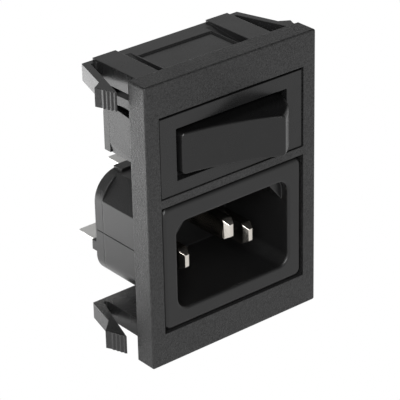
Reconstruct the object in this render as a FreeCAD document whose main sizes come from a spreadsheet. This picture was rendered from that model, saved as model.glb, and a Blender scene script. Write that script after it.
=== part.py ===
import FreeCAD, Part
import Sketcher
import math
import os

# Snap-in panel power module: rocker mains switch above a C14 appliance inlet, in one moulded frame.
#
# Frame of reference: +X right, +Z up, +Y into the equipment. The panel sheet lies against the plane
# y = 0, the origin is on that plane at the middle of the bar between the two windows, and the user
# looks at the module along +Y. Lengths are millimetres, angles are degrees.

DIMENSIONS = {
    # how far a cut starts and ends outside the material
    "cut_over": 1.0,
    # moulded frame: flange, windows, walls behind the panel
    "flange_width": 36.0,
    "flange_thick": 4.1,
    "flange_edge": 0.35,
    "flange_top_margin": 5.97,
    "flange_base_margin": 5.86,
    "window_width": 30.6,
    "window_bar": 1.46,
    "window_ledge": 2.1,
    "switch_window": 14.57,
    "inlet_window": 23.24,
    "body_hole_gap": 0.15,
    "wall_run": 14.2,
    "wall_thick": 3.0,
    "wall_width": 28.6,
    "top_wall_rise": 3.92,
    "base_wall_drop": 4.31,
    "pad_width": 4.7,
    "pad_rise": 0.4,
    "groove_width": 1.6,
    "groove_fall": 1.3,
    "groove_run": 12.4,
    "groove_flat": 2.5,
    "plate_width": 15.6,
    "plate_start": 3.75,
    "plate_run": 6.9,
    "plate_sink": 0.3,
    # snap latches at the four corners of the walls
    "latch_root_out": 2.2,
    "latch_root_thick": 1.1,
    "latch_root_edge": 0.4,
    "top_latch_run": 7.83,
    "top_latch_spread": 2.43,
    "top_latch_root": 1.0,
    "top_latch_neck": 3.29,
    "top_latch_inside": 7.83,
    "base_latch_run": 6.55,
    "base_latch_spread": 1.74,
    "base_latch_root": 1.4,
    "base_latch_neck": 2.3,
    "base_latch_inside": 5.2,
    "latch_head_out": 6.45,
    "latch_head_depth": 5.2,
    "latch_head_rise": 3.3,
    "latch_ramp_run": 3.8,
    "latch_ramp_in": 1.55,
    "top_latch_land": 1.2,
    "base_latch_land": 0.95,
    "latch_land_in": 0.49,
    "latch_teeth": 4,
    "latch_crest_run": 0.45,
    # switch module
    "bezel_gap_side": 0.25,
    "bezel_gap_base": 0.12,
    "bezel_sink": 0.2,
    "switch_bezel": 13.95,
    "rocker_opening": 23.5,
    "rocker_opening_rise": 9.2,
    "rocker_opening_drop": 0.08,
    "opening_depth": 1.5,
    "lip_overhang": 0.3,
    "switch_side_wall": 0.65,
    "switch_floor_wall": 1.15,
    "switch_roof_wall": 2.05,
    "trunnion_length": 1.0,
    "switch_crown": 0.7,
    "switch_heel_rise": 1.75,
    "switch_heel_sink": 0.3,
    "switch_heel_run": 8.0,
    "switch_run": 12.5,
    "switch_base_thick": 1.6,
    "base_lip": 1.0,
    "base_plug": 1.3,
    "base_fit": 0.15,
    "side_slot_start": 6.75,
    "side_slot_run": 4.0,
    "side_slot_middle": 3.78,
    "side_slot_front": 1.85,
    "side_slot_rear": 0.8,
    "rocker_pivot_depth": 3.74,
    "rocker_swing": 19.0,
    "rocker_end_gap": 0.114,
    "rocker_face_height": 7.56,
    "rocker_dish": 47.0,
    "rocker_skirt": 1.8,
    "rocker_wall": 0.9,
    "rocker_height": 7.4,
    "rocker_side_gap": 0.2,
    "rocker_edge": 0.4,
    "rocker_corner": 0.7,
    "trunnion_radius": 1.3,
    "trunnion_gap": 0.06,
    "trunnion_end_gap": 0.1,
    "pole_pitch": 3.0,
    "plunger_block": 3.3,
    "plunger_bore": 1.2,
    "plunger_bore_end": 3.2,
    "plunger_radius": 1.1,
    "plunger_tip": 0.45,
    "plunger_tip_run": 1.1,
    "plunger_reach": 4.4,
    "plunger_length": 5.6,
    "spring_wire": 0.24,
    "spring_turns": 5,
    "plunger_gap": 0.12,
    # switch contacts
    "strip_thick": 0.6,
    "strip_width": 1.7,
    "strip_tail": 3.6,
    "strip_swing": 6.0,
    "contact_reach": 7.9,
    "contact_radius": 0.85,
    "contact_rise": 0.5,
    "contact_air": 0.08,
    "terminal_thick": 0.8,
    "saddle_radius": 0.5,
    "saddle_gap": 0.05,
    "switch_tab_width": 4.8,
    "switch_tab_run": 6.8,
    "fixed_tab_centre": 5.6,
    "pivot_tab_centre": 4.0,
    "tab_nose": 0.3,
    "tab_hole": 1.4,
    "tab_hole_back": 2.6,
    "terminal_fit": 0.05,
    "stem_gap": 0.3,
    "pole_rib": 0.6,
    # inlet module
    "inlet_bezel": 22.7,
    "inlet_corner": 1.5,
    "inlet_edge": 0.8,
    "inlet_axis_drop": 11.29,
    "socket_width": 24.1,
    "socket_height": 16.1,
    "socket_corner": 2.2,
    "socket_depth": 16.6,
    "socket_mouth": 1.7,
    "socket_edge": 0.5,
    "key_width": 3.5,
    "key_drop": 4.2,
    "shroud_side_wall": 1.5,
    "shroud_top_wall": 1.95,
    "shroud_base_wall": 1.05,
    "shroud_corner": 3.9,
    "shroud_floor": 1.6,
    "seam_drop": 0.25,
    "seam_width": 0.16,
    "seam_sink": 0.12,
    "cover_thick": 2.2,
    "cover_lip": 0.5,
    "cover_corner": 5.2,
    "cover_crown": 18.4,
    "cover_crown_rise": 0.4,
    "guard_rise": 1.2,
    "guard_width": 1.2,
    "guard_height": 1.85,
    "guard_drop": 2.7,
    # inlet contacts
    "pin_spacing": 14.0,
    "pin_width": 2.0,
    "pin_height": 4.0,
    "pin_low": 2.17,
    "pin_high": 2.39,
    "power_pin_setback": 3.9,
    "earth_pin_setback": 0.65,
    "pin_nose": 1.7,
    "pin_nose_width": 0.7,
    "pin_nose_height": 2.4,
    "pin_shoulder": 0.5,
    "pin_shoulder_run": 0.8,
    "rivet_radius": 0.8,
    "rivet_head": 0.4,
    "inlet_tab_width": 6.3,
    "inlet_tab_reach": 26.45,
    "power_tab_drop": 5.5,
    "earth_tab_rise": 6.35,
}

SPRING_STEPS = 14       # sections of a spring in each turn
SPRING_CORNERS = 6      # sides of its wire
HEEL_START = 0.05       # share of the heel that is left where its taper begins
FACE_SLACK = 0.02       # how near a face has to be to count as the one that is meant
EDGE_ALONG = 0.99       # least cosine for an edge that runs along an axis


class Size:
    """A length or angle together with the sheet expression that gives it."""

    def __init__(self, value, text):
        self.value = float(value)
        self.text = text

    def joined(self, other, sign, value):
        return Size(value, "(%s %s %s)" % (self.text, sign, other.text))

    def __add__(self, other):
        other = as_size(other)
        return self.joined(other, "+", self.value + other.value)

    def __sub__(self, other):
        other = as_size(other)
        return self.joined(other, "-", self.value - other.value)

    def __mul__(self, other):
        other = as_size(other)
        return self.joined(other, "*", self.value * other.value)

    def __truediv__(self, other):
        other = as_size(other)
        return self.joined(other, "/", self.value / other.value)

    def __radd__(self, other):
        return as_size(other) + self

    def __rsub__(self, other):
        return as_size(other) - self

    def __rmul__(self, other):
        return as_size(other) * self

    def __neg__(self):
        return as_size(0) - self


def as_size(number):
    return number if isinstance(number, Size) else Size(number, repr(float(number)))


def root(size):
    return Size(math.sqrt(size.value), "sqrt(%s)" % size.text)


def sine(size):
    return Size(math.sin(math.radians(size.value)), "sin(%s)" % size.text)


def cosine(size):
    return Size(math.cos(math.radians(size.value)), "cos(%s)" % size.text)


def dim(name):
    return Size(DIMENSIONS[name], "sheet.%s" % name)


def bind(thing, prop, size):
    """Drive one property of a document object from the sheet."""
    thing.setExpression(prop, as_size(size).text)


document = FreeCAD.newDocument("power_module")
sheet = document.addObject("Spreadsheet::Sheet", "sheet")
for row, (name, number) in enumerate(DIMENSIONS.items(), start=1):
    sheet.set("A%d" % row, name)
    sheet.set("B%d" % row, str(number))
    sheet.setAlias("B%d" % row, name)
document.recompute()


# Sketches and features -------------------------------------------------------------------------

def new_body(name):
    body = document.addObject("PartDesign::Body", name)
    body.Label = name
    return body


def origin_plane(body, role):
    return next(item for item in body.Origin.OriginFeatures if item.Role == role)


def add_loop(sketch, loop):
    """Close a loop of (x, y) corners; a third entry bends the way to the next corner into an arc
    of that radius, anticlockwise if it is positive. Every corner is tied to the sheet."""
    first = sketch.GeometryCount
    count = len(loop)
    ends = []
    for place, corner in enumerate(loop):
        following = loop[(place + 1) % count]
        start = FreeCAD.Vector(as_size(corner[0]).value, as_size(corner[1]).value, 0)
        stop = FreeCAD.Vector(as_size(following[0]).value, as_size(following[1]).value, 0)
        if len(corner) == 2:
            sketch.addGeometry(Part.LineSegment(start, stop), False)
            ends.append((1, 2))
            continue
        radius = as_size(corner[2])
        turn = 1 if radius.value > 0 else -1
        chord = stop - start
        rise = math.sqrt(max(radius.value ** 2 - chord.Length ** 2 / 4, 0))
        across = FreeCAD.Vector(-chord.y, chord.x, 0).normalize() * rise * turn
        centre = (start + stop) * 0.5 + across
        circle = Part.Circle(centre, FreeCAD.Vector(0, 0, 1), abs(radius.value))
        angles = [math.atan2(end.y - centre.y, end.x - centre.x) for end in (start, stop)]
        sketch.addGeometry(Part.ArcOfCircle(circle, *angles[::turn]), False)
        ends.append((1, 2) if turn > 0 else (2, 1))
    for place, corner in enumerate(loop):
        edge = first + place
        head, tail = ends[place]
        following = first + (place + 1) % count
        for kind, size in (("DistanceX", corner[0]), ("DistanceY", corner[1])):
            tie(sketch, Sketcher.Constraint(kind, edge, head, as_size(size).value), size)
        sketch.addConstraint(
            Sketcher.Constraint("Coincident", edge, tail, following, ends[(place + 1) % count][0]))
        if len(corner) == 3:
            size = as_size(corner[2])
            size = size if size.value > 0 else -size
            tie(sketch, Sketcher.Constraint("Radius", edge, size.value), size)


def tie(sketch, constraint, size):
    index = sketch.addConstraint(constraint)
    sketch.setExpression("Constraints[%d]" % index, as_size(size).text)


def add_circle(sketch, across, up, radius):
    centre = FreeCAD.Vector(as_size(across).value, as_size(up).value, 0)
    edge = sketch.addGeometry(
        Part.Circle(centre, FreeCAD.Vector(0, 0, 1), as_size(radius).value), False)
    tie(sketch, Sketcher.Constraint("Radius", edge, as_size(radius).value), radius)
    tie(sketch, Sketcher.Constraint("DistanceX", edge, 3, centre.x), across)
    tie(sketch, Sketcher.Constraint("DistanceY", edge, 3, centre.y), up)


def draw(body, role, level, shapes, name):
    """Sketch loops and circles on a plane parallel to one of the body's own planes."""
    sketch = body.newObject("Sketcher::SketchObject", name)
    sketch.AttachmentSupport = [(origin_plane(body, role), "")]
    sketch.MapMode = "FlatFace"
    bind(sketch, "AttachmentOffset.Base.z", -as_size(level) if role == "XZ_Plane" else level)
    for shape in shapes:
        if isinstance(shape, tuple):
            add_circle(sketch, *shape)
        else:
            add_loop(sketch, shape)
    return sketch


def prism(body, role, low, high, shapes, name, cut=False):
    """Pad or pocket a drawing between two levels along the normal of its plane. The normal of
    XZ_Plane is -Y, so there the direction is turned to keep low and high in row axes."""
    sketch = draw(body, role, low, shapes, name + "_outline")
    feature = body.newObject("PartDesign::Pocket" if cut else "PartDesign::Pad", name)
    feature.Profile = sketch
    bind(feature, "Length", as_size(high) - low)
    feature.Reversed = (role == "XZ_Plane") != cut
    return feature


def loft(body, sections, name, cut=False):
    """Straight loft from the first (role, level, loop) to the second."""
    sketches = [draw(body, role, level, [loop], "%s_%d" % (name, place))
                for place, (role, level, loop) in enumerate(sections)]
    kind = "PartDesign::SubtractiveLoft" if cut else "PartDesign::AdditiveLoft"
    feature = body.newObject(kind, name)
    feature.Profile = sketches[0]
    feature.Sections = sketches[1:]
    feature.Ruled = True
    return feature


def mirror(body, features, name, role="YZ_Plane"):
    feature = body.newObject("PartDesign::Mirrored", name)
    feature.Originals = features
    feature.MirrorPlane = (origin_plane(body, role), [""])
    body.Tip = feature
    return feature


def fillet(body, size, wanted, name):
    """Round the edges of the body so far whose middle point and direction pass the test."""
    document.recompute()
    base = body.Tip
    names = []
    for number, edge in enumerate(base.Shape.Edges, start=1):
        ends = [vertex.Point for vertex in edge.Vertexes]
        chord = ends[-1] - ends[0]
        if chord.Length > 0 and wanted((ends[0] + ends[-1]) * 0.5, chord.normalize()):
            names.append("Edge%d" % number)
    feature = body.newObject("PartDesign::Fillet", name)
    feature.Base = (base, names)
    bind(feature, "Radius", size)
    return feature


def close(one, other):
    return abs(one - as_size(other).value) < FACE_SLACK


def rectangle(left, right, low, high):
    return [(left, low), (right, low), (right, high), (left, high)]


def rounded(left, right, low, high, radius):
    return [(left + radius, low), (right - radius, low, radius), (right, low + radius),
            (right, high - radius, radius), (right - radius, high), (left + radius, high, radius),
            (left, high - radius), (left, low + radius, radius)]


def inlet_outline(half, low, high, corner, key_width, key_drop):
    """C14 section: round lower corners, slanted key corners at the top."""
    return [(corner - half, low), (half - corner, low, corner), (half, low + corner),
            (half, high - key_drop), (half - key_width, high), (key_width - half, high),
            (-half, high - key_drop), (-half, low + corner, corner)]


# Places shared by several pieces ---------------------------------------------------------------

over = dim("cut_over")
front = -dim("flange_thick")
bezel_front = front + dim("bezel_sink")
ledge = front + dim("flange_thick") - dim("window_ledge")
half_window = dim("window_width") / 2
half_bezel = half_window - dim("bezel_gap_side")
switch_low = dim("window_bar") / 2
switch_high = switch_low + dim("switch_window")
inlet_high = -dim("window_bar") / 2
inlet_low = inlet_high - dim("inlet_window")
switch_middle = switch_low + dim("bezel_gap_base") + dim("switch_bezel") / 2
inlet_middle = inlet_low + dim("bezel_gap_base") + dim("inlet_bezel") / 2
inlet_axis = inlet_low + dim("inlet_axis_drop")

half_opening = dim("rocker_opening") / 2
half_rise = dim("rocker_opening_rise") / 2
half_cavity = half_opening + dim("lip_overhang")
half_switch = half_cavity + dim("switch_side_wall")
switch_axis = switch_middle - dim("rocker_opening_drop")
half_rocker_height = dim("rocker_height") / 2
half_cavity_rise = half_rocker_height + dim("rocker_side_gap")
sleeve_low = switch_axis - half_cavity_rise - dim("switch_floor_wall")
sleeve_high = switch_axis + half_cavity_rise + dim("switch_roof_wall")
switch_rear = dim("switch_run") + dim("switch_base_thick")
pivot_depth = bezel_front + dim("rocker_pivot_depth")

half_socket = dim("socket_width") / 2
socket_low = inlet_axis - dim("socket_height") / 2
socket_high = inlet_axis + dim("socket_height") / 2
socket_floor = bezel_front + dim("socket_depth")
half_shroud = half_socket + dim("shroud_side_wall")
shroud_low = socket_low - dim("shroud_base_wall")
shroud_high = socket_high + dim("shroud_top_wall")
shroud_rear = socket_floor + dim("shroud_floor")
cover_rear = shroud_rear + dim("cover_thick")


def shroud_section(grow):
    return inlet_outline(half_shroud + grow, shroud_low - grow, shroud_high + grow,
                         dim("shroud_corner"), dim("key_width"), dim("key_drop"))


# Moulded frame ---------------------------------------------------------------------------------

def latch_plan(side):
    """Plan of a left latch: the arm from its root on the wall, and the toothed head at its end."""
    wall = -dim("wall_width") / 2
    root_out = wall - dim("latch_root_out")
    neck_out = root_out - dim(side + "_latch_spread")
    neck_deep = dim("wall_run") - dim(side + "_latch_run")
    head_out = wall - dim("latch_head_out")
    tip_out = head_out + dim("latch_ramp_in")
    tip_deep = dim("latch_head_depth") - dim("latch_ramp_run")
    root_front = dim("wall_run") - dim("latch_root_thick")
    inner_root = root_out + dim(side + "_latch_root")
    inner_neck = wall - dim(side + "_latch_neck")
    inner_deep = dim("wall_run") - dim(side + "_latch_inside")

    crest = head_out + dim("latch_land_in")
    start = dim("latch_head_depth") - dim(side + "_latch_land")
    pitch = (start - tip_deep) / dim("latch_teeth")
    step = (tip_out - crest) / dim("latch_teeth")
    teeth = []
    for tooth in range(int(DIMENSIONS["latch_teeth"])):
        teeth.append((crest + step * tooth, start - pitch * tooth))
        teeth.append((crest + step * tooth, start - pitch * tooth - dim("latch_crest_run")))
    arm = [(wall, dim("wall_run")), (root_out, dim("wall_run")), (neck_out, neck_deep),
           (inner_neck, inner_deep), (inner_root, root_front), (wall, root_front)]
    head = [(neck_out, neck_deep), (head_out, dim("latch_head_depth"))] + teeth
    head += [(tip_out, tip_deep), (inner_neck, inner_deep)]
    return arm, head, inner_root, root_front


def build_frame():
    body = new_body("panel_frame")
    half = dim("flange_width") / 2
    flange_high = switch_high + dim("flange_top_margin")
    flange_low = inlet_low - dim("flange_base_margin")
    prism(body, "XZ_Plane", front, 0, [rectangle(-half, half, flange_low, flange_high)], "flange")
    fillet(body, dim("flange_edge"),
           lambda middle, way: close(middle.y, front) or abs(way.y) > EDGE_ALONG,
           "flange_edges")

    half_wall = dim("wall_width") / 2
    half_gap = half_wall - dim("pad_width")
    faces = {"top": (switch_high + dim("top_wall_rise"), 1),
             "base": (inlet_low - dim("base_wall_drop"), -1)}
    latches = []
    grooves = []
    for side, (face, up) in faces.items():
        inner = face - dim("wall_thick") * up
        pad = face + dim("pad_rise") * up
        section = [(-half_wall, inner), (half_wall, inner), (half_wall, pad), (half_gap, pad),
                   (half_gap, face), (-half_gap, face), (-half_gap, pad), (-half_wall, pad)]
        prism(body, "XZ_Plane", 0, dim("wall_run"), [section], side + "_wall")
        arm, head, inner_root, root_front = latch_plan(side)
        arm_base = inner if up > 0 else face
        head_base = face - dim("latch_head_rise") if up > 0 else inner - dim("latch_head_rise")
        latches.append(prism(body, "XY_Plane", arm_base, arm_base + dim("wall_thick"), [arm],
                             side + "_latch_arm"))
        latches.append(prism(body, "XY_Plane", head_base, head_base + dim("latch_head_rise"),
                             [head], side + "_latch_head"))
        floor = face - dim("groove_fall") * up
        wedge = [(0, face), (0, floor), (dim("groove_flat"), floor), (dim("groove_run"), face)]
        grooves.append((side, wedge, half_gap))
    mirror(body, latches, "right_latches")
    fillet(body, dim("latch_root_edge"),
           lambda middle, way: abs(way.z) > EDGE_ALONG and close(middle.y, root_front)
           and (close(abs(middle.x), -inner_root) or close(abs(middle.x), half_wall)),
           "latch_root_fillets")

    cuts = [prism(body, "YZ_Plane", -edge, dim("groove_width") - edge, [wedge],
                  side + "_wall_groove", cut=True) for side, wedge, edge in grooves]
    mirror(body, cuts, "right_grooves")
    plate_face = faces["top"][0]
    prism(body, "XY_Plane", plate_face - dim("plate_sink"), plate_face + over,
          [rectangle(-dim("plate_width") / 2, dim("plate_width") / 2, dim("plate_start"),
                     dim("plate_start") + dim("plate_run"))], "marking_recess", cut=True)

    for side, low, high in (("switch", switch_low, switch_high), ("inlet", inlet_low, inlet_high)):
        prism(body, "XZ_Plane", front, ledge, [rectangle(-half_window, half_window, low, high)],
              side + "_window", cut=True)
    gap = dim("body_hole_gap")
    prism(body, "XZ_Plane", ledge, 0,
          [rectangle(-half_switch - gap, half_switch + gap, sleeve_low - gap,
                     sleeve_high + dim("switch_crown") + gap),
           shroud_section(gap)],
          "body_holes", cut=True)
    return body


# Switch module ---------------------------------------------------------------------------------

def build_switch_housing():
    body = new_body("switch_housing")
    half_height = dim("switch_bezel") / 2
    prism(body, "XZ_Plane", bezel_front, ledge,
          [rectangle(-half_bezel, half_bezel, switch_middle - half_height,
                     switch_middle + half_height)], "switch_bezel")
    prism(body, "YZ_Plane", -half_switch, half_switch,
          [[(ledge, sleeve_low), (dim("switch_run"), sleeve_low), (dim("switch_run"), sleeve_high),
            (ledge, sleeve_high + dim("switch_crown"))]], "switch_sleeve")

    opening_rear = bezel_front + dim("opening_depth")
    prism(body, "XZ_Plane", bezel_front, opening_rear,
          [rectangle(-half_opening, half_opening, switch_axis - half_rise,
                     switch_axis + half_rise)], "rocker_opening", cut=True)
    prism(body, "XZ_Plane", opening_rear, dim("switch_run"),
          [rectangle(-half_cavity, half_cavity, switch_axis - half_cavity_rise,
                     switch_axis + half_cavity_rise)], "switch_cavity", cut=True)
    bore_half = half_rocker_height + dim("trunnion_length") + dim("trunnion_end_gap")
    prism(body, "XY_Plane", switch_axis - bore_half, switch_axis + bore_half,
          [(as_size(0), pivot_depth, dim("trunnion_radius") + dim("trunnion_gap"))],
          "trunnion_bores", cut=True)

    slot_middle = switch_middle + dim("side_slot_middle")
    slot_front = dim("side_slot_start")
    slot_rear = slot_front + dim("side_slot_run")
    half_front = dim("side_slot_front") / 2
    half_rear = dim("side_slot_rear") / 2
    slot = prism(body, "YZ_Plane", -half_switch - over, -half_cavity,
                 [[(slot_front, slot_middle - half_front), (slot_rear, slot_middle - half_rear),
                   (slot_rear, slot_middle + half_rear), (slot_front, slot_middle + half_front)]],
                 "side_slot", cut=True)

    def heel(share):
        """Sliver of the lower side edge that the taper takes away."""
        return [(-half_switch - over, sleeve_low - over),
                (dim("switch_heel_sink") * share - half_switch, sleeve_low - over),
                (dim("switch_heel_sink") * share - half_switch, sleeve_low),
                (-half_switch, sleeve_low + dim("switch_heel_rise") * share),
                (-half_switch - over, sleeve_low + dim("switch_heel_rise") * share)]

    taper = loft(body, [("XZ_Plane", dim("switch_run"), heel(1)),
                        ("XZ_Plane", dim("switch_run") - dim("switch_heel_run"),
                         heel(HEEL_START))],
                 "switch_heel", cut=True)
    mirror(body, [slot, taper], "right_side_cuts")
    return body


def build_switch_base():
    body = new_body("switch_base")
    prism(body, "XZ_Plane", dim("switch_run"), switch_rear,
          [rectangle(-half_switch, half_switch, sleeve_low,
                     sleeve_high + dim("base_lip"))], "base_plate")
    fit = dim("base_fit")
    plug_front = dim("switch_run") - dim("base_plug")
    prism(body, "XZ_Plane", plug_front, dim("switch_run"),
          [rectangle(fit - half_cavity, half_cavity - fit, switch_axis - half_cavity_rise + fit,
                     switch_axis + half_cavity_rise - fit)], "base_plug")
    half_rib = dim("pole_rib") / 2
    prism(body, "XZ_Plane", strip_rear + dim("saddle_radius") * 2, plug_front,
          [rectangle(-dim("contact_reach") - dim("strip_width"), dim("contact_reach"),
                     switch_axis - half_rib, switch_axis + half_rib)], "pole_rib")
    slack = dim("terminal_fit")
    slots = []
    for pole in (-1, 1):
        middle = switch_axis + dim("pole_pitch") / 2 * pole
        for centre in (-dim("fixed_tab_centre"), dim("pivot_tab_centre")):
            half_tab = dim("switch_tab_width") / 2 + slack
            half_sheet = dim("terminal_thick") / 2 + slack
            slots.append(rectangle(centre - half_tab, centre + half_tab, middle - half_sheet,
                                   middle + half_sheet))
    prism(body, "XZ_Plane", plug_front - over, switch_rear + over, slots, "terminal_slots",
          cut=True)
    return body


end_radius = dim("rocker_opening") / 2 - dim("rocker_end_gap")
face_half = root(end_radius * end_radius - dim("rocker_face_height") * dim("rocker_face_height"))
strip_front = pivot_depth + dim("plunger_reach") + dim("plunger_gap")
strip_rear = strip_front + dim("strip_thick")


def rocker_section(shrink):
    """Dished face with end walls on arcs about the pivot, open towards the contacts."""
    radius = end_radius - shrink
    face = dim("rocker_face_height") - shrink
    corner = root(radius * radius - face * face)
    skirt = root(radius * radius - dim("rocker_skirt") * dim("rocker_skirt"))
    return [(-corner, -face, -dim("rocker_dish") - shrink), (corner, -face, radius),
            (skirt, dim("rocker_skirt")), (-skirt, dim("rocker_skirt"), radius)]


def place_on_rocker(piece, offset=0):
    """Turn a piece drawn about the pivot to the rest position, left end pressed in."""
    piece.Placement = FreeCAD.Placement(
        FreeCAD.Vector(0, pivot_depth.value, (switch_axis + offset).value),
        FreeCAD.Rotation(FreeCAD.Vector(0, 0, 1), -dim("rocker_swing").value))
    bind(piece, "Placement.Base.y", pivot_depth)
    bind(piece, "Placement.Base.z", switch_axis + offset)


def build_rocker():
    body = new_body("rocker")
    half_height = half_rocker_height
    inner_height = half_height - dim("rocker_wall")
    prism(body, "XY_Plane", -half_height, half_height, [rocker_section(as_size(0))],
          "rocker_shell")
    fillet(body, dim("rocker_corner"),
           lambda middle, way: abs(middle.x) > face_half.value and abs(way.z) < 0.1
           and abs(way.x) < 0.5, "rocker_corners")
    fillet(body, dim("rocker_edge"),
           lambda middle, way: middle.y < dim("rocker_corner").value - dim("rocker_face_height").value,
           "rocker_face_edges")
    prism(body, "XY_Plane", -inner_height, inner_height, [rocker_section(dim("rocker_wall"))],
          "rocker_hollow", cut=True)
    half_block = dim("plunger_block") / 2
    inner_face = dim("rocker_wall") - dim("rocker_face_height")
    prism(body, "XZ_Plane", inner_face, dim("plunger_bore_end"),
          [rectangle(-half_block, half_block, -inner_height, inner_height)], "plunger_block")
    bore_start = dim("plunger_bore_end") - bore_run
    prism(body, "XZ_Plane", bore_start, dim("plunger_bore_end") + over,
          [(as_size(0), dim("pole_pitch") / 2 * pole, dim("plunger_bore")) for pole in (-1, 1)],
          "plunger_bores", cut=True)
    trunnion_end = half_height + dim("trunnion_length")
    for side, low, high in (("lower", -trunnion_end, -half_height),
                            ("upper", half_height, trunnion_end)):
        prism(body, "XY_Plane", low, high,
              [(as_size(0), as_size(0), dim("trunnion_radius"))], side + "_trunnion")
    place_on_rocker(body)
    return body


plunger_rear = dim("plunger_reach") - dim("plunger_length")
bore_run = dim("rocker_face_height") - dim("rocker_wall") * 2 + dim("plunger_bore_end")
spring_start = dim("plunger_bore_end") - bore_run


def build_plunger(name, offset):
    """Round pin with a cone nose, turned about its own axis."""
    body = new_body(name)
    radius = dim("plunger_radius")
    tip = dim("plunger_tip")
    nose = dim("plunger_reach") - dim("plunger_tip_run")
    profile = [(as_size(0), plunger_rear), (radius, plunger_rear), (radius, nose),
               (tip, dim("plunger_reach")), (as_size(0), dim("plunger_reach"))]
    sketch = draw(body, "XY_Plane", 0, [profile], name + "_profile")
    turned = body.newObject("PartDesign::Revolution", name + "_turned")
    turned.Profile = sketch
    turned.ReferenceAxis = (sketch, ["V_Axis"])
    turned.Angle = 360
    place_on_rocker(body, offset)
    return body


def build_spring(name, offset):
    """Compression spring between the bottom of the rocker's bore and the plunger, as a hexagonal
    wire lofted round the coil so that it stays light."""
    wire = dim("spring_wire").value
    length = (plunger_rear - spring_start).value - wire
    radius = (dim("plunger_bore") - dim("spring_wire")).value
    turns = DIMENSIONS["spring_turns"]
    steps = int(turns * SPRING_STEPS)
    sections = []
    for step in range(steps + 1):
        around = math.tau * turns * step / steps
        middle = spring_start.value + wire / 2 + length * step / steps
        corners = []
        for corner in range(SPRING_CORNERS):
            turn = math.tau * corner / SPRING_CORNERS
            out = radius + wire / 2 * math.cos(turn)
            corners.append(FreeCAD.Vector(out * math.cos(around), middle + wire / 2 * math.sin(turn),
                                          out * math.sin(around)))
        sections.append(Part.makePolygon(corners + corners[:1]))
    spring = document.addObject("Part::Feature", name)
    spring.Label = name
    spring.Shape = Part.makeLoft(sections, True, True)
    place_on_rocker(spring, offset)
    return spring


# Switch contacts -------------------------------------------------------------------------------

strip_offset = dim("saddle_radius") + dim("saddle_gap")
saddle_centre = strip_rear + strip_offset
fixed_face = (saddle_centre + (dim("contact_rise") - strip_offset) * cosine(dim("strip_swing"))
              + (dim("contact_reach") + dim("contact_radius")) * sine(dim("strip_swing"))
              + dim("contact_air"))


def build_moving_contact(name, offset):
    """Strip that tips on the pivot terminal's saddle and carries a silver contact at its left
    end. It is drawn about the axis of the saddle."""
    body = new_body(name)
    half_width = dim("strip_width") / 2
    end = dim("contact_reach") + dim("contact_radius")
    prism(body, "XY_Plane", -half_width, half_width,
          [rectangle(-end, dim("strip_tail"), -strip_offset - dim("strip_thick"), -strip_offset)],
          name + "_strip")
    prism(body, "XZ_Plane", -strip_offset, dim("contact_rise") - strip_offset,
          [(-dim("contact_reach"), as_size(0), dim("contact_radius"))], name + "_button")
    body.Placement = FreeCAD.Placement(
        FreeCAD.Vector(0, saddle_centre.value, (switch_axis + offset).value),
        FreeCAD.Rotation(FreeCAD.Vector(0, 0, 1), dim("strip_swing").value))
    bind(body, "Placement.Base.y", saddle_centre)
    bind(body, "Placement.Base.z", switch_axis + offset)
    return body


def tab_plan(centre, width, start, stop):
    """Blade plan with a tapered nose."""
    half = width / 2
    nose = dim("tab_nose")
    return [(centre - half, start), (centre + half, start), (centre + half, stop - nose),
            (centre + half - nose, stop), (centre - half + nose, stop), (centre - half, stop - nose)]


def build_switch_terminal(name, offset, tab_centre, table_centre, table_front, crown):
    """Folded terminal: a table across the contact axis, a flat stem and a blade with a hole."""
    body = new_body(name)
    half_sheet = dim("terminal_thick") / 2
    half_width = dim("strip_width") / 2
    half_tab = dim("switch_tab_width") / 2
    middle = switch_axis + offset
    stem_end = dim("switch_run") - dim("base_plug") - dim("stem_gap")
    blade_end = switch_rear + dim("switch_tab_run")
    low_end = tab_centre - half_tab
    high_end = tab_centre + half_tab
    table_low = table_centre - half_width
    table_high = table_centre + half_width
    stem_low = table_low if table_low.value < low_end.value else low_end
    stem_high = table_high if table_high.value > high_end.value else high_end
    prism(body, "XY_Plane", middle - half_sheet, middle + half_sheet,
          [rectangle(stem_low, stem_high, table_front, stem_end)], name + "_stem")
    prism(body, "XZ_Plane", table_front, table_front + dim("terminal_thick"),
          [rectangle(table_low, table_high, middle - half_width, middle + half_width)],
          name + "_table")
    prism(body, "XY_Plane", middle - half_sheet, middle + half_sheet,
          [tab_plan(tab_centre, dim("switch_tab_width"), stem_end, blade_end)], name + "_blade")
    prism(body, "XY_Plane", middle - over, middle + over,
          [(tab_centre, blade_end - dim("tab_hole_back"), dim("tab_hole") / 2)], name + "_hole",
          cut=True)
    if crown == "button":
        prism(body, "XZ_Plane", fixed_face, table_front,
              [(table_centre, middle, dim("contact_radius"))], name + "_button")
    else:
        prism(body, "XY_Plane", middle - half_width, middle + half_width,
              [(as_size(0), saddle_centre, dim("saddle_radius"))], name + "_saddle")
    return body


# Inlet module ----------------------------------------------------------------------------------

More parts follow.
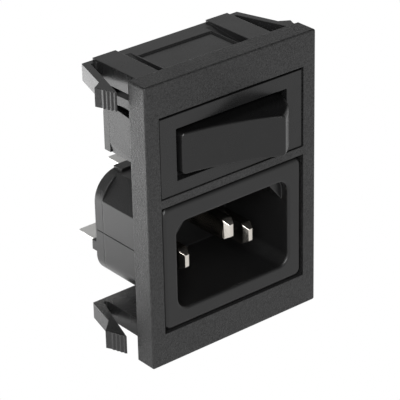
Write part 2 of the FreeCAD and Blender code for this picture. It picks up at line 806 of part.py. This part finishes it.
def build_inlet_shroud():
    body = new_body("inlet_shroud")
    half_height = dim("inlet_bezel") / 2
    prism(body, "XZ_Plane", bezel_front, ledge,
          [rounded(-half_bezel, half_bezel, inlet_middle - half_height,
                   inlet_middle + half_height, dim("inlet_corner"))], "inlet_bezel")
    fillet(body, dim("inlet_edge"), lambda middle, way: close(middle.y, bezel_front),
           "inlet_bezel_edge")
    prism(body, "XZ_Plane", ledge, shroud_rear, [shroud_section(as_size(0))], "shroud_walls")
    web_front = bezel_front + dim("socket_mouth")
    prism(body, "XZ_Plane", bezel_front, web_front,
          [rounded(-half_socket, half_socket, socket_low, socket_high, dim("socket_corner"))],
          "socket_mouth", cut=True)
    prism(body, "XZ_Plane", web_front, socket_floor,
          [inlet_outline(half_socket, socket_low, socket_high, dim("socket_corner"),
                         dim("key_width"), dim("key_drop"))], "socket_well", cut=True)
    fillet(body, dim("socket_edge"),
           lambda middle, way: close(middle.y, bezel_front)
           and abs(middle.x) < half_socket.value + 0.1
           and abs(middle.z - inlet_axis.value) < dim("socket_height").value / 2 + 0.1,
           "socket_mouth_edge")
    shoulder = dim("pin_shoulder") + dim("terminal_fit")
    slack = dim("terminal_fit")
    for name, level, grow in (("pin_slots", socket_floor - over, slack),
                              ("pin_seats", shroud_rear - dim("pin_shoulder_run"), shoulder)):
        outlines = [rectangle(across - dim("pin_width") / 2 - grow,
                              across + dim("pin_width") / 2 + grow,
                              up - dim("pin_height") / 2 - grow,
                              up + dim("pin_height") / 2 + grow)
                    for across, up in pin_places.values()]
        prism(body, "XZ_Plane", level, shroud_rear + over, outlines, name, cut=True)
    cut_seam(body, 0, shroud_rear)
    return body


def cut_seam(body, start, stop):
    """Parting line along both sides."""
    seam = inlet_axis - dim("seam_drop")
    groove = prism(body, "XZ_Plane", start, stop,
                   [rectangle(-half_shroud - over, dim("seam_sink") - half_shroud,
                              seam - dim("seam_width") / 2, seam + dim("seam_width") / 2)],
                   "side_seam", cut=True)
    mirror(body, [groove], "right_side_seam")


pin_places = {
    "line": (-dim("pin_spacing") / 2, inlet_axis - dim("pin_low")),
    "neutral": (dim("pin_spacing") / 2, inlet_axis - dim("pin_low")),
    "earth": (as_size(0), inlet_axis + dim("pin_high")),
}
tab_levels = {
    "line": inlet_axis - dim("power_tab_drop"),
    "neutral": inlet_axis - dim("power_tab_drop"),
    "earth": inlet_axis + dim("earth_tab_rise"),
}


def carrier_span(role):
    """Lower and upper end of the plate that joins a pin to its blade."""
    up = pin_places[role][1]
    if role == "earth":
        return up - dim("pin_height") / 2, tab_levels[role]
    return tab_levels[role] - dim("terminal_thick"), up + dim("pin_height") / 2


def build_inlet_cover():
    """Rear cover that traps the contact plates, with its round corners showing behind the keys."""
    body = new_body("inlet_rear_cover")
    radius = dim("cover_corner")
    outline = [(dim("shroud_corner") - half_shroud, shroud_low),
               (half_shroud - dim("shroud_corner"), shroud_low, dim("shroud_corner")),
               (half_shroud, shroud_low + dim("shroud_corner")),
               (half_shroud, shroud_high - radius, radius), (half_shroud - radius, shroud_high),
               (radius - half_shroud, shroud_high, radius), (-half_shroud, shroud_high - radius),
               (-half_shroud, shroud_low + dim("shroud_corner"), dim("shroud_corner"))]
    prism(body, "XZ_Plane", shroud_rear, cover_rear, [outline], "cover_plate")
    crown = dim("cover_crown") / 2
    prism(body, "XZ_Plane", shroud_rear, cover_rear,
          [rectangle(-crown, crown, shroud_high - over, shroud_high + dim("cover_crown_rise"))],
          "cover_crown")
    guard_high = inlet_axis - dim("guard_drop")
    guard = prism(body, "XZ_Plane", cover_rear, cover_rear + dim("guard_rise"),
                  [rectangle(-half_shroud, dim("guard_width") - half_shroud,
                             guard_high - dim("guard_height"), guard_high)], "tab_guard")
    mirror(body, [guard], "right_tab_guard")
    slack = dim("terminal_fit")
    half_plate = dim("inlet_tab_width") / 2 + slack
    pockets = []
    slots = []
    for role, (across, up) in pin_places.items():
        low, high = carrier_span(role)
        top = tab_levels[role]
        pockets.append(rectangle(across - half_plate, across + half_plate, low - slack, high + slack))
        slots.append(rectangle(across - half_plate, across + half_plate,
                               top - dim("terminal_thick") - slack, top + slack))
    pocket_end = shroud_rear + dim("terminal_thick") + dim("rivet_head") + slack
    prism(body, "XZ_Plane", shroud_rear, pocket_end, pockets, "plate_pockets", cut=True)
    prism(body, "XZ_Plane", pocket_end, cover_rear + over, slots, "blade_slots", cut=True)
    cut_seam(body, shroud_rear, cover_rear - dim("cover_lip"))
    return body


def build_pin(name, role, setback):
    """Solid contact pin: chamfered nose, blade, shoulder in the floor and a rivet stub."""
    body = new_body(name)
    across, up = pin_places[role]
    half_width = dim("pin_width") / 2
    half_height = dim("pin_height") / 2
    tip = bezel_front + setback
    nose_end = tip + dim("pin_nose")

    def block(half_across, half_up):
        return rectangle(across - half_across, across + half_across, up - half_up, up + half_up)

    prism(body, "XZ_Plane", nose_end, shroud_rear, [block(half_width, half_height)], name + "_blade")
    loft(body, [("XZ_Plane", nose_end, block(half_width, half_height)),
                ("XZ_Plane", tip, block(dim("pin_nose_width") / 2, dim("pin_nose_height") / 2))],
         name + "_nose")
    prism(body, "XZ_Plane", shroud_rear - dim("pin_shoulder_run"), shroud_rear,
          [block(half_width + dim("pin_shoulder"), half_height + dim("pin_shoulder"))],
          name + "_shoulder")
    prism(body, "XZ_Plane", shroud_rear, shroud_rear + dim("terminal_thick") + dim("rivet_head"),
          [(across, up, dim("rivet_radius"))], name + "_rivet")
    return body


def build_blade(name, role):
    """Flat terminal: a plate riveted to the pin, folded back into a horizontal blade."""
    body = new_body(name)
    across, up = pin_places[role]
    half = dim("inlet_tab_width") / 2
    low, high = carrier_span(role)
    top = tab_levels[role]
    prism(body, "XZ_Plane", shroud_rear, shroud_rear + dim("terminal_thick"),
          [rectangle(across - half, across + half, low, high)], name + "_plate")
    prism(body, "XY_Plane", top - dim("terminal_thick"), top,
          [tab_plan(across, dim("inlet_tab_width"), shroud_rear, dim("inlet_tab_reach"))],
          name + "_tab")
    prism(body, "XZ_Plane", shroud_rear - over, shroud_rear + dim("terminal_thick") + over,
          [(across, up, dim("rivet_radius") + dim("terminal_fit"))], name + "_rivet_hole", cut=True)
    prism(body, "XY_Plane", top - dim("terminal_thick") - over, top + over,
          [(across, dim("inlet_tab_reach") - dim("tab_hole_back"), dim("tab_hole") / 2)],
          name + "_tab_hole", cut=True)
    return body


# All sub-parts ---------------------------------------------------------------------------------

pieces = [build_frame(), build_switch_housing(), build_switch_base(), build_rocker()]
for level, pole in (("upper", 1), ("lower", -1)):
    shift = dim("pole_pitch") / 2 * pole
    pieces.append(build_plunger("plunger_" + level, shift))
    pieces.append(build_spring("plunger_spring_" + level, shift))
    pieces.append(build_moving_contact("moving_contact_" + level, shift))
    pieces.append(build_switch_terminal(
        "fixed_terminal_" + level, shift, -dim("fixed_tab_centre"), -dim("contact_reach"),
        fixed_face + dim("contact_rise"), "button"))
    pieces.append(build_switch_terminal(
        "pivot_terminal_" + level, shift, dim("pivot_tab_centre"), as_size(0), saddle_centre,
        "saddle"))
pieces += [build_inlet_shroud(), build_inlet_cover()]
for role in pin_places:
    setback = dim("earth_pin_setback") if role == "earth" else dim("power_pin_setback")
    pieces.append(build_pin(role + "_pin", role, setback))
    pieces.append(build_blade(role + "_terminal", role))

document.recompute()
faults = [item.Name for item in document.Objects
          if "Invalid" in item.State or "Error" in item.State]
for item in document.Objects:
    if item.isDerivedFrom("PartDesign::Pocket") and not faults:
        if item.Shape.Volume >= item.BaseFeature.Shape.Volume - 1e-6:
            faults.append(item.Name + " cuts nothing")
for piece in pieces:
    if piece.Shape.isNull() or not piece.Shape.isValid() or piece.Shape.Volume <= 0:
        faults.append(piece.Label + " has no valid shape")
if faults:
    raise RuntimeError("not built: " + ", ".join(faults))

os.makedirs("parts", exist_ok=True)
for piece in pieces:
    piece.Shape.exportStep("parts/%s.step" % piece.Label)
    print("%-24s %9.3f mm3  %d solid" % (piece.Label, piece.Shape.Volume, len(piece.Shape.Solids)))
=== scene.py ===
import math

import bpy
import numpy as np
from mathutils import Matrix, Vector


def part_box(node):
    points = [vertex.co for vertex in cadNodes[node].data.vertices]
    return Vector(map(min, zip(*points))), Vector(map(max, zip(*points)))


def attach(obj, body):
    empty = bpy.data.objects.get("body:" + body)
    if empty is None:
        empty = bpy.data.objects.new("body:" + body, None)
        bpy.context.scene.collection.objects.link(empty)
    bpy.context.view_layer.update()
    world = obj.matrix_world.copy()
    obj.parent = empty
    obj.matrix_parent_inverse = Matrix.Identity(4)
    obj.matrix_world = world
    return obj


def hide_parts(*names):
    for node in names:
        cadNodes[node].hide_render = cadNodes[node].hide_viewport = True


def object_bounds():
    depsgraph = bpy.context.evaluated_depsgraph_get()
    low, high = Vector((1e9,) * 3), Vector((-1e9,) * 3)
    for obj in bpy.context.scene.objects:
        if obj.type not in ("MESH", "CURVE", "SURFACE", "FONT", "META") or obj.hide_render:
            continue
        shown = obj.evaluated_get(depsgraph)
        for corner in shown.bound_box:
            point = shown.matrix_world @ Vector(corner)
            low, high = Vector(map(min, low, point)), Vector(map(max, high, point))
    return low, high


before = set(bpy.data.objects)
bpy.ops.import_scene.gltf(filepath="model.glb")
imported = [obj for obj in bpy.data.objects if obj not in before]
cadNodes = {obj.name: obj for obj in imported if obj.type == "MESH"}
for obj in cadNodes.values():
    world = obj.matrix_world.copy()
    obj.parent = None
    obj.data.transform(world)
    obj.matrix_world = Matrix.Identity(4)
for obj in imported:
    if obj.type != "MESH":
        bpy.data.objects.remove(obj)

cadLow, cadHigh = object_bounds()
mm = 0.001
bevelSamples = 8
slopeRange = (0.15, 0.25)
toneRange = (0.32, 0.68)

print("stage: packed frame loaded,", len(cadNodes), "nodes")


# Small helpers for node trees

def addNode(tree, kind, values=None, **settings):
    # one node with its settings; a value that is a socket is linked instead of typed in
    node = tree.nodes.new(kind)
    for name, setting in settings.items():
        setattr(node, name, setting)
    for name, value in (values or {}).items():
        socket = node.inputs[name]
        if isinstance(value, bpy.types.NodeSocket):
            tree.links.new(value, socket)
        else:
            socket.default_value = value
    return node


def mathNode(tree, operation, first, second=0.0):
    return addNode(tree, "ShaderNodeMath", {0: first, 1: second}, operation=operation).outputs[0]


def remap(tree, value, fromLow, fromHigh, toLow, toHigh):
    node = addNode(tree, "ShaderNodeMapRange", {"Value": value, "From Min": fromLow, "From Max": fromHigh,
                                                "To Min": toLow, "To Max": toHigh})
    return node.outputs["Result"]


def noise(tree, place, size, detail=2.0, stretch=(1.0, 1.0, 1.0)):
    # noise whose grains are about `size` metres across
    mapping = addNode(tree, "ShaderNodeMapping", {"Vector": place, "Scale": stretch})
    return addNode(tree, "ShaderNodeTexNoise", {"Vector": mapping.outputs[0], "Scale": 1.0 / size,
                                                "Detail": detail}).outputs["Fac"]


def mixShare(tree, share, low, high):
    # low where the share is 0, high where it is 1
    return remap(tree, share, 0.0, 1.0, low, high)


def newMaterial(name):
    material = bpy.data.materials.new(name)
    material.use_nodes = True
    material.node_tree.nodes.clear()
    return material, material.node_tree


def finishMaterial(tree, surface):
    addNode(tree, "ShaderNodeOutputMaterial", {"Surface": surface})


# Moulded plastics

def mouldedPlastic(name, look):
    # satin plastic: fine tool grain, long moulding waves, and a painted highlight that makes the rounded
    # edges paler
    material, tree = newMaterial(name)
    place = addNode(tree, "ShaderNodeTexCoord").outputs["Object"]
    # share of the grained finish: all of the piece, what lies in front of a depth, or sloping faces
    grained = 1.0
    if "grainedUpTo" in look:
        depth = addNode(tree, "ShaderNodeSeparateXYZ", {"Vector": place}).outputs["Y"]
        grained = remap(tree, depth, look["grainedUpTo"], look["grainedUpTo"] + 0.1 * mm, 1.0, 0.0)
    if look.get("grainedSlopes"):
        # only the faces that slope to both sides of the key
        face = addNode(tree, "ShaderNodeSeparateXYZ",
                       {"Vector": addNode(tree, "ShaderNodeNewGeometry").outputs["True Normal"]}).outputs
        slope = mathNode(tree, "MULTIPLY", mathNode(tree, "ABSOLUTE", face["X"]), face["Z"])
        grained = remap(tree, slope, *slopeRange, 0.0, 1.0)
    grain = noise(tree, place, look["grainSize"], 3.0)
    waves = noise(tree, place, look["waveSize"], 1.0)
    tone = noise(tree, place, look["toneSize"], 4.0)

    rounded = addNode(tree, "ShaderNodeBevel", {"Radius": look["edgeRadius"]},
                      samples=bevelSamples).outputs[0]
    wavy = addNode(tree, "ShaderNodeBump", {"Height": waves, "Strength": 1.0,
                                            "Distance": look["waveDepth"], "Normal": rounded}).outputs[0]
    height = mathNode(tree, "MULTIPLY", grain, mixShare(tree, grained, look["smoothShare"], 1.0))
    grainy = addNode(tree, "ShaderNodeBump", {"Height": height, "Strength": 1.0,
                                              "Distance": look["grainDepth"], "Normal": wavy}).outputs[0]

    trueNormal = addNode(tree, "ShaderNodeNewGeometry").outputs["True Normal"]
    # painted highlight: the colour turns paler where the rounded-edge normal leaves the flat face, broken up
    # by the random tone
    facing = addNode(tree, "ShaderNodeVectorMath", {0: rounded, 1: trueNormal}, operation="DOT_PRODUCT")
    edge = remap(tree, facing.outputs["Value"], 1.0, 0.86, 0.0, 1.0)
    edgeHighlight = mathNode(tree, "MULTIPLY", edge, remap(tree, tone, 0.35, 0.65, 0.2, 1.0))

    offMiddle = mathNode(tree, "SUBTRACT", tone, 0.5)
    tone = mathNode(tree, "ADD", 0.5, mathNode(tree, "MULTIPLY", offMiddle, grained))
    dark = tuple(c * (1 - look["toneSpread"]) for c in look["colour"]) + (1.0,)
    pale = tuple(c * (1 + look["toneSpread"]) for c in look["colour"]) + (1.0,)
    mottled = addNode(tree, "ShaderNodeMix", {"Factor": remap(tree, tone, *toneRange, 0.0, 1.0), 6: dark,
                                              7: pale}, data_type="RGBA").outputs[2]
    # colour of the painted edge highlight: the base colour lifted by edgeHighlightLift
    edgeHighlightColour = tuple(c * look["edgeHighlightLift"] for c in look["colour"]) + (1.0,)
    colour = addNode(tree, "ShaderNodeMix", {"Factor": edgeHighlight, 6: mottled, 7: edgeHighlightColour},
                     data_type="RGBA").outputs[2]
    level = mixShare(tree, grained, look["smoothRoughness"], look["roughness"])
    spread = mathNode(tree, "MULTIPLY", grained, remap(tree, grain, 0.3, 0.7, -look["roughSpread"],
                                                       look["roughSpread"]))
    cloudy = remap(tree, waves, 0.3, 0.7, -look["roughClouds"], look["roughClouds"])
    rough = mathNode(tree, "ADD", level, mathNode(tree, "ADD", spread, cloudy))
    shader = addNode(tree, "ShaderNodeBsdfPrincipled",
                     {"Base Color": colour, "Roughness": rough, "Normal": grainy, "IOR": look["ior"]})
    finishMaterial(tree, shader.outputs[0])
    return material


# edgeHighlightLift sets how much paler the painted highlight on rounded edges is than the base colour
framePlastic = dict(colour=(0.015, 0.015, 0.0152), roughness=0.38, roughClouds=0.03, roughSpread=0.13,
                    ior=1.5, smoothRoughness=0.26, smoothShare=0.0, grainedUpTo=0.0,
                    grainSize=0.26 * mm, grainDepth=0.11 * mm, waveSize=6 * mm, waveDepth=0.04 * mm,
                    toneSize=0.22 * mm, toneSpread=1.0, edgeRadius=0.16 * mm, edgeHighlightLift=1.3)
switchPlastic = dict(colour=(0.009, 0.009, 0.0092), roughness=0.28, roughClouds=0.03, roughSpread=0.02,
                     ior=1.5, smoothRoughness=0.28, smoothShare=0.0,
                     grainSize=0.30 * mm, grainDepth=0.0006 * mm, waveSize=5 * mm, waveDepth=0.02 * mm,
                     toneSize=2.0 * mm, toneSpread=0.10, edgeRadius=0.15 * mm, edgeHighlightLift=1.2)
rockerPlastic = dict(colour=(0.004, 0.004, 0.0041), roughness=0.30, roughClouds=0.03, roughSpread=0.02,
                     ior=1.5, smoothRoughness=0.30, smoothShare=1.0,
                     grainSize=0.25 * mm, grainDepth=0.0004 * mm, waveSize=7 * mm, waveDepth=0.01 * mm,
                     toneSize=2.5 * mm, toneSpread=0.08, edgeRadius=0.12 * mm, edgeHighlightLift=1.3)
inletPlastic = dict(grainedSlopes=True, colour=(0.008, 0.008, 0.0081), roughness=0.40, roughClouds=0.03,
                    roughSpread=0.03, ior=1.5, smoothRoughness=0.32, smoothShare=0.0,
                    grainSize=0.30 * mm, grainDepth=0.06 * mm, waveSize=5 * mm, waveDepth=0.02 * mm,
                    toneSize=2.0 * mm, toneSpread=0.10, edgeRadius=0.30 * mm, edgeHighlightLift=1.2)
plungerNylon = dict(colour=(0.72, 0.70, 0.64), roughness=0.35, roughClouds=0.03, roughSpread=0.05,
                    ior=1.53, smoothRoughness=0.35, smoothShare=1.0,
                    grainSize=0.30 * mm, grainDepth=0.004 * mm, waveSize=3 * mm, waveDepth=0.01 * mm,
                    toneSize=1.0 * mm, toneSpread=0.05, edgeRadius=0.08 * mm, edgeHighlightLift=1.1)


# Plated and drawn metals

def platedMetal(name, look):
    # rolled strip: lines along the sheet, soft clouding of the plating, blunt sheared edges
    material, tree = newMaterial(name)
    place = addNode(tree, "ShaderNodeTexCoord").outputs["Object"]
    lines = noise(tree, place, look["lineSize"], 2.0, look["lineStretch"])
    cloud = noise(tree, place, look["cloudSize"], 3.0)
    rounded = addNode(tree, "ShaderNodeBevel", {"Radius": look["edgeRadius"]},
                      samples=bevelSamples).outputs[0]
    normal = addNode(tree, "ShaderNodeBump", {"Height": lines, "Strength": 1.0,
                                              "Distance": look["lineDepth"], "Normal": rounded}).outputs[0]
    colour = addNode(tree, "ShaderNodeMix", {"Factor": cloud, 6: look["colour"] + (1.0,),
                                             7: look["dullColour"] + (1.0,)}, data_type="RGBA").outputs[2]
    rough = remap(tree, lines, 0.3, 0.7, look["roughness"] - 0.06, look["roughness"] + 0.06)
    shader = addNode(tree, "ShaderNodeBsdfPrincipled",
                     {"Base Color": colour, "Metallic": 1.0, "Roughness": rough, "Normal": normal})
    finishMaterial(tree, shader.outputs[0])
    return material


pinPlating = dict(colour=(0.86, 0.82, 0.76), dullColour=(0.74, 0.69, 0.62), roughness=0.16,
                  lineSize=0.12 * mm, lineStretch=(1.0, 0.08, 1.0), lineDepth=0.0003 * mm,
                  cloudSize=1.2 * mm, edgeRadius=0.10 * mm)
tabPlating = dict(colour=(0.90, 0.90, 0.89), dullColour=(0.80, 0.79, 0.77), roughness=0.44,
                  lineSize=0.10 * mm, lineStretch=(1.0, 0.06, 1.0), lineDepth=0.0008 * mm,
                  cloudSize=1.5 * mm, edgeRadius=0.08 * mm)
contactCopper = dict(colour=(0.83, 0.50, 0.33), dullColour=(0.66, 0.36, 0.22), roughness=0.34,
                     lineSize=0.10 * mm, lineStretch=(0.06, 1.0, 1.0), lineDepth=0.0008 * mm,
                     cloudSize=1.0 * mm, edgeRadius=0.06 * mm)
springSteel = dict(colour=(0.62, 0.61, 0.60), dullColour=(0.50, 0.49, 0.48), roughness=0.28,
                   lineSize=0.06 * mm, lineStretch=(1.0, 1.0, 0.3), lineDepth=0.0005 * mm,
                   cloudSize=0.6 * mm, edgeRadius=0.04 * mm)

finishes = {
    "frame_plastic": mouldedPlastic("frame_grained_black", framePlastic),
    "switch_plastic": mouldedPlastic("switch_satin_black", switchPlastic),
    "rocker_plastic": mouldedPlastic("rocker_satin_black", rockerPlastic),
    "inlet_plastic": mouldedPlastic("inlet_satin_black", inletPlastic),
    "plunger_nylon": mouldedPlastic("plunger_natural_nylon", plungerNylon),
    "plated_pin": platedMetal("pin_nickel", pinPlating),
    "plated_tab": platedMetal("tab_tin", tabPlating),
    "contact_copper": platedMetal("contact_copper", contactCopper),
    "spring_steel": platedMetal("spring_steel", springSteel),
}

for name, node in cadNodes.items():
    for place, slot in enumerate(node.material_slots):
        base = slot.material.name.split(".")[0]
        if base in finishes:
            slot.material = finishes[base]
        else:
            print("no finish for", name, base)

print("stage: finishes on the packed nodes")


# Contact pins: one closed surface from the nose to the riveted end

pinShape = dict(halfWidth=1.0 * mm, halfHeight=2.0 * mm, cornerRadius=0.16 * mm, noseCorner=0.05 * mm,
                noseRun=1.8 * mm, tipHalfWidth=0.40 * mm, tipHalfHeight=1.12 * mm, tipRound=0.06 * mm,
                widthSlope=0.55, heightSlope=0.62, blend=0.05 * mm, shoulderGrow=0.5 * mm,
                shoulderRun=0.8 * mm, rivetRadius=0.8 * mm, rivetRun=1.2 * mm, rivetRound=0.2 * mm,
                cornerSteps=6, noseSteps=36, sharpAngle=28.0)


def joinedLines(rise, limit, blend):
    # hyperbola that follows `rise` and then turns level at `limit`
    return 0.5 * (rise + limit - np.sqrt((rise - limit) ** 2 + blend ** 2))


def roundedSections(middle, along, halfWidth, halfHeight, corner, steps):
    # section at each depth: a rectangle with a quarter circle of radius `corner` at each corner,
    # so point = corner centre + corner * (cos, sin); depth runs along Y
    turn = np.concatenate([np.linspace(quarter, quarter + 0.5, steps) * np.pi
                           for quarter in (0.0, 0.5, 1.0, 1.5)])
    sideX = np.repeat([1.0, -1.0, -1.0, 1.0], steps)
    sideZ = np.repeat([1.0, 1.0, -1.0, -1.0], steps)
    across = middle[0] + sideX * (halfWidth - corner)[:, None] + corner[:, None] * np.cos(turn)
    up = middle[1] + sideZ * (halfHeight - corner)[:, None] + corner[:, None] * np.sin(turn)
    deep = np.repeat(along[:, None], turn.size, axis=1)
    return np.stack([across, deep, up], axis=2)


def closedSurface(name, rings):
    # skin over the rings, with a flat fan at each end; quads join point i of a ring to i of the next
    rows, columns = rings.shape[:2]
    points = np.concatenate([rings.reshape(-1, 3), rings[0].mean(axis=0)[None], rings[-1].mean(axis=0)[None]])
    row, column = np.meshgrid(np.arange(rows - 1), np.arange(columns), indexing="ij")
    following = (column + 1) % columns
    quads = np.stack([row * columns + column, row * columns + following,
                      (row + 1) * columns + following, (row + 1) * columns + column], axis=2).reshape(-1, 4)
    around = np.arange(columns)
    front = np.stack([np.full(columns, rows * columns), (around + 1) % columns, around], axis=1)
    last = (rows - 1) * columns
    back = np.stack([np.full(columns, rows * columns + 1), last + around, last + (around + 1) % columns],
                    axis=1)
    mesh = bpy.data.meshes.new(name)
    mesh.from_pydata(points.tolist(), [], quads.tolist() + front.tolist() + back.tolist())
    mesh.polygons.foreach_set("use_smooth", np.ones(len(mesh.polygons), dtype=bool))
    mesh.set_sharp_from_angle(angle=math.radians(pinShape["sharpAngle"]))
    mesh.update()
    piece = bpy.data.objects.new(name, mesh)
    bpy.context.scene.collection.objects.link(piece)
    return piece


def contactPin(node):
    shape = pinShape
    low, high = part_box(node)
    middle = ((low.x + high.x) / 2, (low.z + high.z) / 2)
    plateFace = high.y - shape["rivetRun"]
    # nose: both half sizes grow in a straight line from the rounded tip to the blade
    turn = np.linspace(0.0, np.pi / 2, 5)
    tipDepth = shape["tipRound"] * (1 - np.cos(turn))
    tipInset = shape["tipRound"] * (1 - np.sin(turn))
    run = np.linspace(shape["tipRound"] * 1.2, shape["noseRun"], shape["noseSteps"])
    depth = np.concatenate([tipDepth, run])
    inset = np.concatenate([tipInset, np.zeros(run.size)])
    halfWidth = joinedLines(shape["tipHalfWidth"] + shape["widthSlope"] * depth, shape["halfWidth"],
                            shape["blend"]) - inset
    halfHeight = joinedLines(shape["tipHalfHeight"] + shape["heightSlope"] * depth, shape["halfHeight"],
                             shape["blend"]) - inset
    corner = np.linspace(shape["noseCorner"], shape["cornerRadius"], depth.size)
    shoulder = plateFace - shape["shoulderRun"]
    grow, rivet, edge = shape["shoulderGrow"], shape["rivetRadius"], shape["rivetRound"]
    # blade, shoulder and rivet, as (depth, half width, half height, corner radius)
    rest = np.array([
        (shoulder, shape["halfWidth"], shape["halfHeight"], shape["cornerRadius"]),
        (shoulder, shape["halfWidth"] + grow, shape["halfHeight"] + grow, shape["cornerRadius"]),
        (plateFace, shape["halfWidth"] + grow, shape["halfHeight"] + grow, shape["cornerRadius"]),
        (plateFace, rivet, rivet, rivet * 0.99),
        (high.y - edge, rivet, rivet, rivet * 0.99),
        (high.y - edge * 0.3, rivet - edge * 0.3, rivet - edge * 0.3, (rivet - edge * 0.3) * 0.99),
        (high.y, rivet - edge, rivet - edge, (rivet - edge) * 0.99)])
    rings = roundedSections(middle, np.concatenate([low.y + depth, rest[:, 0]]),
                            np.concatenate([halfWidth, rest[:, 1]]), np.concatenate([halfHeight, rest[:, 2]]),
                            np.concatenate([corner, rest[:, 3]]), shape["cornerSteps"])
    piece = closedSurface(node + "_surface", rings)
    piece.data.materials.append(finishes["plated_pin"])
    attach(piece, "module")
    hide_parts(node)


for node in ("line_pin", "neutral_pin", "earth_pin"):
    contactPin(node)
print("stage: contact pins")


# Floor, background and lights

studio = dict(floorSize=1.2, floorTone=0.86, glossShare=0.4, horizon=0.70, ceiling=0.07, ceilingRise=0.80)


def seenShare(tree):
    # 1 for what the camera sees, less for mirrored rays, 0 for the light that falls on the object
    path = addNode(tree, "ShaderNodeLightPath").outputs
    gloss = mathNode(tree, "MULTIPLY", mathNode(tree, "MAXIMUM", path["Is Glossy Ray"],
                                                path["Is Transmission Ray"]), studio["glossShare"])
    return mathNode(tree, "MAXIMUM", path["Is Camera Ray"], gloss)


def studioFloor():
    material, tree = newMaterial("studio_floor")
    tone = studio["floorTone"]
    paper = addNode(tree, "ShaderNodeBsdfDiffuse", {"Color": (tone, tone, tone, 1.0)}).outputs[0]
    white = addNode(tree, "ShaderNodeEmission", {"Color": (1.0, 1.0, 1.0, 1.0), "Strength": 1.0}).outputs[0]
    mixed = addNode(tree, "ShaderNodeMixShader", {0: seenShare(tree), 1: paper, 2: white})
    finishMaterial(tree, mixed.outputs[0])
    half = studio["floorSize"] / 2
    level = cadLow.z
    mesh = bpy.data.meshes.new("studio_floor")
    mesh.from_pydata([(-half, -half, level), (half, -half, level), (half, half, level), (-half, half, level)],
                     [], [(0, 1, 2, 3)])
    mesh.materials.append(material)
    floor = bpy.data.objects.new("studio_floor", mesh)
    bpy.context.scene.collection.objects.link(floor)


def studioWorld():
    # a white sweep at the horizon that darkens upwards; what the camera sees of it is white
    world = bpy.data.worlds.new("studio_world")
    world.use_nodes = True
    tree = world.node_tree
    tree.nodes.clear()
    rise = addNode(tree, "ShaderNodeSeparateXYZ",
                   {"Vector": addNode(tree, "ShaderNodeTexCoord").outputs["Generated"]}).outputs["Z"]
    sweep = remap(tree, rise, 0.0, studio["ceilingRise"], studio["horizon"], studio["ceiling"])
    seen = addNode(tree, "ShaderNodeLightPath").outputs["Is Camera Ray"]
    strength = mathNode(tree, "MAXIMUM", sweep, seen)
    back = addNode(tree, "ShaderNodeBackground", {"Color": (1.0, 1.0, 1.0, 1.0), "Strength": strength})
    addNode(tree, "ShaderNodeOutputWorld", {"Surface": back.outputs[0]})
    bpy.context.scene.world = world


lamps = {
    "floor_lamp": dict(kind="SPOT", place=(-0.10, 0.14, 0.22), aim=(-0.075, 0.105, -0.03), size=0.03,
                       spread=48, power=14.0),
    "front_softbox": dict(kind="AREA", place=(-0.40, -0.42, 0.36), aim=(0.0, -0.02, -0.01), size=0.40,
                          spread=120, power=2.1),
}


def addLamp(name, lamp):
    light = bpy.data.lights.new(name, lamp["kind"])
    light.energy = lamp["power"]
    if lamp["kind"] == "SPOT":
        light.shadow_soft_size = lamp["size"]
        light.spot_size = math.radians(lamp["spread"])
        light.spot_blend = 1.0
    else:
        light.size = lamp["size"]
        light.spread = math.radians(lamp["spread"])
    holder = bpy.data.objects.new(name, light)
    holder.location = lamp["place"]
    holder.rotation_mode = "QUATERNION"
    holder.rotation_quaternion = (Vector(lamp["aim"]) - Vector(lamp["place"])).to_track_quat("-Z", "Y")
    bpy.context.scene.collection.objects.link(holder)


studioFloor()
studioWorld()
for lampName, lamp in lamps.items():
    addLamp(lampName, lamp)
print("stage: studio")


# Camera: turned to the left of the front, above it, slightly rolled

view = dict(azimuth=-39.044, elevation=27.113, roll=-1.25, distance=0.3550166, aimRight=-0.0029913,
            aimUp=-0.0051405, lens=192.97)


def addCamera():
    azimuth, elevation, roll = (math.radians(view[part]) for part in ("azimuth", "elevation", "roll"))
    back = Vector((math.sin(azimuth) * math.cos(elevation), -math.cos(azimuth) * math.cos(elevation),
                   math.sin(elevation)))
    right = Vector((0, 0, 1)).cross(back).normalized()
    up = back.cross(right)
    turned = right * math.cos(roll) + up * math.sin(roll)
    up = up * math.cos(roll) - right * math.sin(roll)
    right = turned
    camera = bpy.data.cameras.new("camera")
    camera.lens = view["lens"]
    camera.sensor_width = 36.0
    camera.clip_start, camera.clip_end = 0.01, 10.0
    holder = bpy.data.objects.new("camera", camera)
    eye = back * view["distance"] + right * view["aimRight"] + up * view["aimUp"]
    holder.matrix_world = Matrix.Translation(eye) @ Matrix((right, up, back)).transposed().to_4x4()
    bpy.context.scene.collection.objects.link(holder)
    bpy.context.scene.camera = holder


addCamera()
bpy.context.scene.view_settings.view_transform = "Standard"
